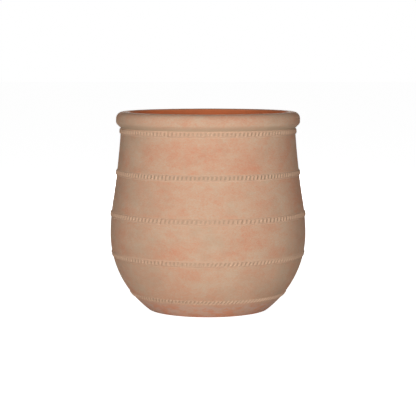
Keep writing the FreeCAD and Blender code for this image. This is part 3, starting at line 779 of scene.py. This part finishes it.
class POT_OT_bands(bpy.types.Operator):
    """Make the five bands, pressed with slanted notches all the way round"""

    bl_idname = "flower_pot.bands"
    bl_label = "Notched bands"

    def execute(self, context):
        finish = shared_finish(context.scene, PRESSED_BAND, limewashed_band_clay)
        for place, band in enumerate(BANDS):
            self.band(context.scene.pot_sizes, context.scene.band_sizes, place, band, finish)
        return {"FINISHED"}

    def notches(self, sizes, place, front, count):
        """Azimuths, leans, depths, lengths and widths of a band's notches, each a little different. The one
        at the seam, where the ends of the strip meet, is a narrow cut across the whole band."""
        # Limits as shares of the usual depth and of the pitch.
        shallowest, deepest, widest = 0.85, 1.1, 0.98
        dice = np.random.default_rng(sizes.seed + place)
        even = (np.arange(count) + 0.5) * math.tau / count - math.pi
        centres = even + dice.normal(0, sizes.place_spread, count) / front
        drift = sizes.drifts[place] * np.sin(centres)
        leans = sizes.slants[place] + drift + dice.normal(0, sizes.lean_spread, count)
        pressures = np.clip(dice.normal(1, sizes.depth_spread, count), shallowest, deepest)
        depths = sizes.notch_depths[place] * pressures
        lengths = sizes.notch_lengths[place] + dice.normal(0, sizes.length_spread, count)
        mouths = sizes.notch_mouth + dice.normal(0, sizes.mouth_spread, count)
        mouths = np.minimum(mouths, widest * sizes.pitches[place])
        cut = int(np.argmin(np.abs(centres - sizes.seam)))
        mouths[cut] *= sizes.seam_narrowing
        lengths[cut] *= sizes.seam_lengthening
        return centres, leans, depths, lengths, mouths

    def band(self, pot, sizes, place, band, finish):
        """One band as a sheet of rows and columns: the columns lean with the notches, and the last two rows
        close its back inside the wall."""
        middle, relief = sizes.heights[place], sizes.reliefs[place]
        radius, lean = (float(value) for value in wall_at(pot, middle))
        front = radius + relief * math.cos(lean)
        count = round(math.tau * front / sizes.pitches[place])
        centres, leans, depths, lengths, mouths = self.notches(sizes, place, front, count)

        # Rows from the lower edge to the upper one, and how far the strip stands out there between notches.
        half, crest, long = sizes.width / 2, sizes.crest / 2, sizes.notch_lengths[place] / 2
        runs = [
            straight(-half, -long, count=5),
            straight(-long, crest, count=13)[1:],
            straight(crest, half, count=7)[1:],
        ]
        across = np.concatenate(runs)[:, None]
        down = np.clip((np.abs(across) - crest) / (half - crest), 0, 1)
        swell = (relief + sizes.tuck) * (0.5 + 0.5 * np.cos(down * math.pi)) - sizes.tuck

        # Columns for each notch: the middle of the ridge before it, then some across its rounded hollow.
        hollow = straight(-0.75, 0.75, count=7)
        columns = 1 + len(hollow)
        before = np.roll(centres, 1)
        before[0] -= math.tau
        ridges = (before + centres)[:, None] / 2
        hollows = centres[:, None] + hollow * mouths[:, None] / 2 / front
        angles = np.concatenate([ridges, hollows], axis=1).ravel()
        turns = np.repeat(leans, columns)
        turns[::columns] = (np.roll(leans, 1) + leans) / 2
        dip = np.tile(np.append(0, 0.5 + 0.5 * np.cos(hollow * math.pi)), count)

        # A notch ends steeply above and at half that slope below.
        ends = np.repeat(lengths, columns) / 2
        along = across + sizes.notch_drops[place]
        upper = np.clip((ends - along) / sizes.notch_end, 0, 1)
        lower = np.clip((ends + along) / (2 * sizes.notch_end), 0, 1)
        pit = dip * upper * upper * (3 - 2 * upper) * lower * lower * (3 - 2 * lower)
        lift = swell - pit * np.clip(swell + sizes.notch_floor, 0, np.repeat(depths, columns))

        azimuth = angles + across * np.tan(turns) / front
        height = middle + across * math.cos(lean)
        wall, tilt = wall_at(pot, height)
        base = round_positions(wall, height, azimuth)
        lift = lift - hand_work(pot, base.reshape(-1, 3)).reshape(azimuth.shape)
        points = round_positions(wall + lift * np.cos(tilt), height + lift * np.sin(tilt), azimuth)
        closing = [-2, 1]
        back = round_positions(wall[closing] - sizes.back, height[closing], azimuth[closing])

        # The edges are palest just outside the notches, over a fifth of the way that they fade, and the
        # ridges
        # between notches are paled too: wash rubbed pale, with painted highlight.
        plateau, palest = 0.2, 0.8
        away = np.abs(np.abs(along) - long - sizes.rail_offset)
        edge = np.clip(1 + plateau - away / sizes.rail_fade, 0, 1)
        rail = edge * np.where(along > 0, sizes.high_rails[place], sizes.low_rails[place])
        rail = np.maximum(rail, sizes.ridges[place] * (1 - dip) * upper * lower)
        unmarked = np.zeros((len(back), len(angles)))
        # The mark "pit" paints shade with dust into the notch floors, and the mark "rail" paints highlight
        # and rubbed paleness.
        marks = {
            "pit": np.concatenate([pit**2 * sizes.notch_dust_and_shade[place], unmarked]),
            "rail": np.concatenate([palest * rail * (1 - pit), unmarked]),
        }
        ring(band, np.concatenate([points, back]), marks, finish)


class POT_OT_stage(bpy.types.Operator):
    """Set up the pale floor, the soft lights and the camera"""

    bl_idname = "flower_pot.stage"
    bl_label = "Stage"

    def execute(self, context):
        studio = context.scene.studio
        self.floor(studio)
        self.surroundings(context.scene, studio.ambient)
        for name, stand in LAMPS.items():
            self.lamp(studio, name, getattr(studio, name + "_power"), **stand)
        camera = bpy.data.cameras.new("camera")
        camera.lens = studio.lens
        camera.sensor_width = SENSOR_WIDTH
        eye = bpy.data.objects.new("camera", camera)
        eye.location = (0, -studio.camera_distance, studio.camera_height)
        sight = Vector((0, 0, studio.aim_height)) - eye.location
        eye.rotation_euler = sight.to_track_quat("-Z", "Y").to_euler()
        context.scene.collection.objects.link(eye)
        context.scene.camera = eye
        context.scene.view_settings.view_transform = "Standard"
        return {"FINISHED"}

    def floor(self, studio):
        """A wide floor in matt white paint, which gives an even ground with a soft shadow. For the camera it
        glows to white, less where the pot keeps the light off it."""
        reach = FLOOR_REACH
        mesh = bpy.data.meshes.new("studio_floor")
        corners = [(-reach, -reach, 0), (reach, -reach, 0), (reach, reach, 0), (-reach, reach, 0)]
        mesh.from_pydata(corners, [], [(0, 1, 2, 3)])
        material, tree = new_finish("white_painted_floor_matt")
        paint = add(tree, "ShaderNodeBsdfDiffuse", {"Color": studio.floor_paint})
        glow = add(tree, "ShaderNodeEmission", {"Color": srgb("#FFFFFF"), "Strength": studio.floor_glow})
        both = add(tree, "ShaderNodeAddShader", {0: paint[0], 1: glow[0]})
        shown = add(tree, "ShaderNodeMixShader", {0: self.seen_directly(tree), 1: paint[0], 2: both[0]})
        add(tree, "ShaderNodeOutputMaterial", {"Surface": shown[0]})
        mesh.materials.append(material)
        floor = bpy.data.objects.new("studio_floor", mesh)
        bpy.context.scene.collection.objects.link(floor)

    def seen_directly(self, tree):
        """One for rays from the camera and for what shiny or clear things show, and nothing for the rest."""
        path = add(tree, "ShaderNodeLightPath")
        either = add(
            tree, "ShaderNodeMath", {0: path["Is Camera Ray"], 1: path["Is Glossy Ray"]}, operation="MAXIMUM"
        )
        every = add(
            tree, "ShaderNodeMath", {0: either[0], 1: path["Is Transmission Ray"]}, operation="MAXIMUM"
        )
        return every[0]

    def surroundings(self, scene, ambient):
        """A white room that lights the pot evenly and weakly, and shows as white."""
        scene.world = bpy.data.worlds.new("white_room")
        scene.world.use_nodes = True
        tree = scene.world.node_tree
        tree.nodes.clear()
        light = add(tree, "ShaderNodeBackground", {"Color": srgb("#FFFFFF"), "Strength": ambient})
        white = add(tree, "ShaderNodeBackground", {"Color": srgb("#FFFFFF"), "Strength": 1.0})
        shown = add(tree, "ShaderNodeMixShader", {0: self.seen_directly(tree), 1: light[0], 2: white[0]})
        add(tree, "ShaderNodeOutputWorld", {"Surface": shown[0]})

    def lamp(self, studio, name, watts, azimuth, elevation, width):
        """A square soft light aimed at the middle of the pot."""
        light = bpy.data.lights.new(name, "AREA")
        light.size = width
        light.energy = watts
        turn, climb = math.radians(azimuth), math.radians(elevation)
        way = Vector((math.sin(turn) * math.cos(climb), -math.cos(turn) * math.cos(climb), math.sin(climb)))
        lamp = bpy.data.objects.new(name + "_light", light)
        lamp.location = Vector((0, 0, studio.lamp_aim)) + way * studio.lamp_distance
        lamp.rotation_euler = (-way).to_track_quat("-Z", "Y").to_euler()
        bpy.context.scene.collection.objects.link(lamp)


class POT_PT_sidebar(bpy.types.Panel):
    """The pot's pieces, sizes and colours"""

    bl_idname = "POT_PT_sidebar"
    bl_label = "Flower pot"
    bl_space_type = "VIEW_3D"
    bl_region_type = "UI"
    bl_category = "Flower pot"

    def draw(self, context):
        for maker in OPERATORS:
            self.layout.operator(maker.bl_idname)
        for group in SETTINGS:
            box = self.layout.box()
            owner = getattr(context.scene, group)
            for name in owner.bl_rna.properties.keys():
                if name not in ("rna_type", "name"):
                    box.prop(owner, name)


SETTINGS = {
    "pot_sizes": PotSizes,
    "band_sizes": BandSizes,
    "finish_sizes": FinishSizes,
    "pot_colours": PotColours,
    "studio": StudioSettings,
}
OPERATORS = [POT_OT_courses, POT_OT_rim_roll, POT_OT_floor_disc, POT_OT_bands, POT_OT_stage]


def register():
    for item in (*SETTINGS.values(), *OPERATORS, POT_PT_sidebar):
        bpy.utils.register_class(item)
    for name, group in SETTINGS.items():
        setattr(bpy.types.Scene, name, PointerProperty(type=group))


def unregister():
    for name in SETTINGS:
        delattr(bpy.types.Scene, name)
    for item in (POT_PT_sidebar, *reversed(OPERATORS), *reversed(SETTINGS.values())):
        bpy.utils.unregister_class(item)


def main():
    register()
    bpy.ops.flower_pot.courses()
    bpy.ops.flower_pot.rim_roll()
    bpy.ops.flower_pot.floor_disc()
    bpy.ops.flower_pot.bands()
    bpy.ops.flower_pot.stage()
    bpy.context.view_layer.update()


if __name__ == "__main__":
    main()
